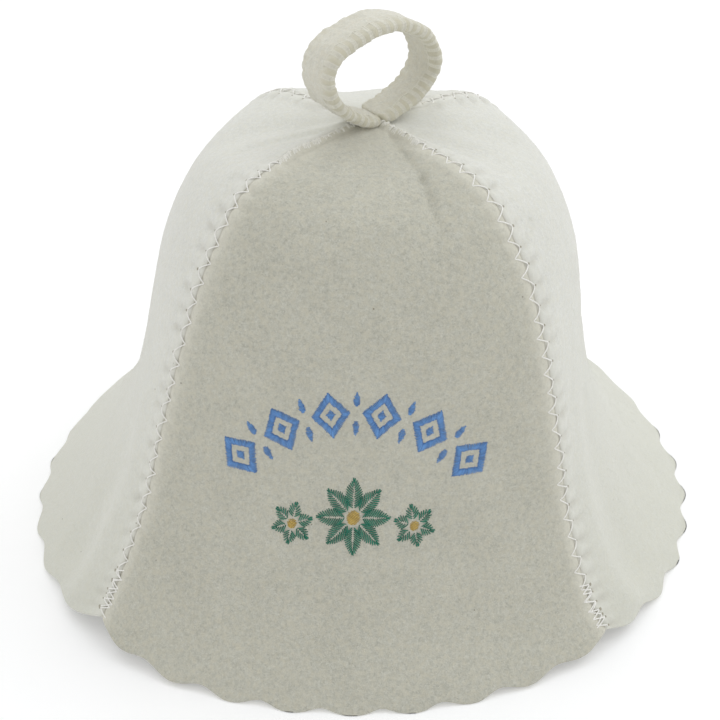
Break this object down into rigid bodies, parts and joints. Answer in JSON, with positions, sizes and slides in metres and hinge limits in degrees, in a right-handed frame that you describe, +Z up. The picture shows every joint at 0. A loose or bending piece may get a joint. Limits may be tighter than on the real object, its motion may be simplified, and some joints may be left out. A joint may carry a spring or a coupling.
{
  "type": "felt sauna hat",
  "caption": "Bell-shaped sauna hat sewn from felt wedges, with a flared scalloped brim, a hollow for the head and a felt hanging loop on the crown.",
  "frame": {"origin": "on the surface that the brim rests on, under the middle of the bounding box", "axes": "+Z up to the crown, -Y out of the front wedge, +X to the wearer's left, which is the camera's right"},
  "size_m": [0.328, 0.313, 0.2448],
  "materials": {
    "felt": "matt cream wool felt with a fine mottled nap",
    "loop_felt": "matt cream wool felt strip, folded and whip-stitched along one edge"
  },
  "bodies": {
    "root": {"front_panel": "felt", "right_panel": "felt", "back_panel": "felt", "left_panel": "felt", "hanging_loop": "loop_felt"}
  },
  "joints": []
}
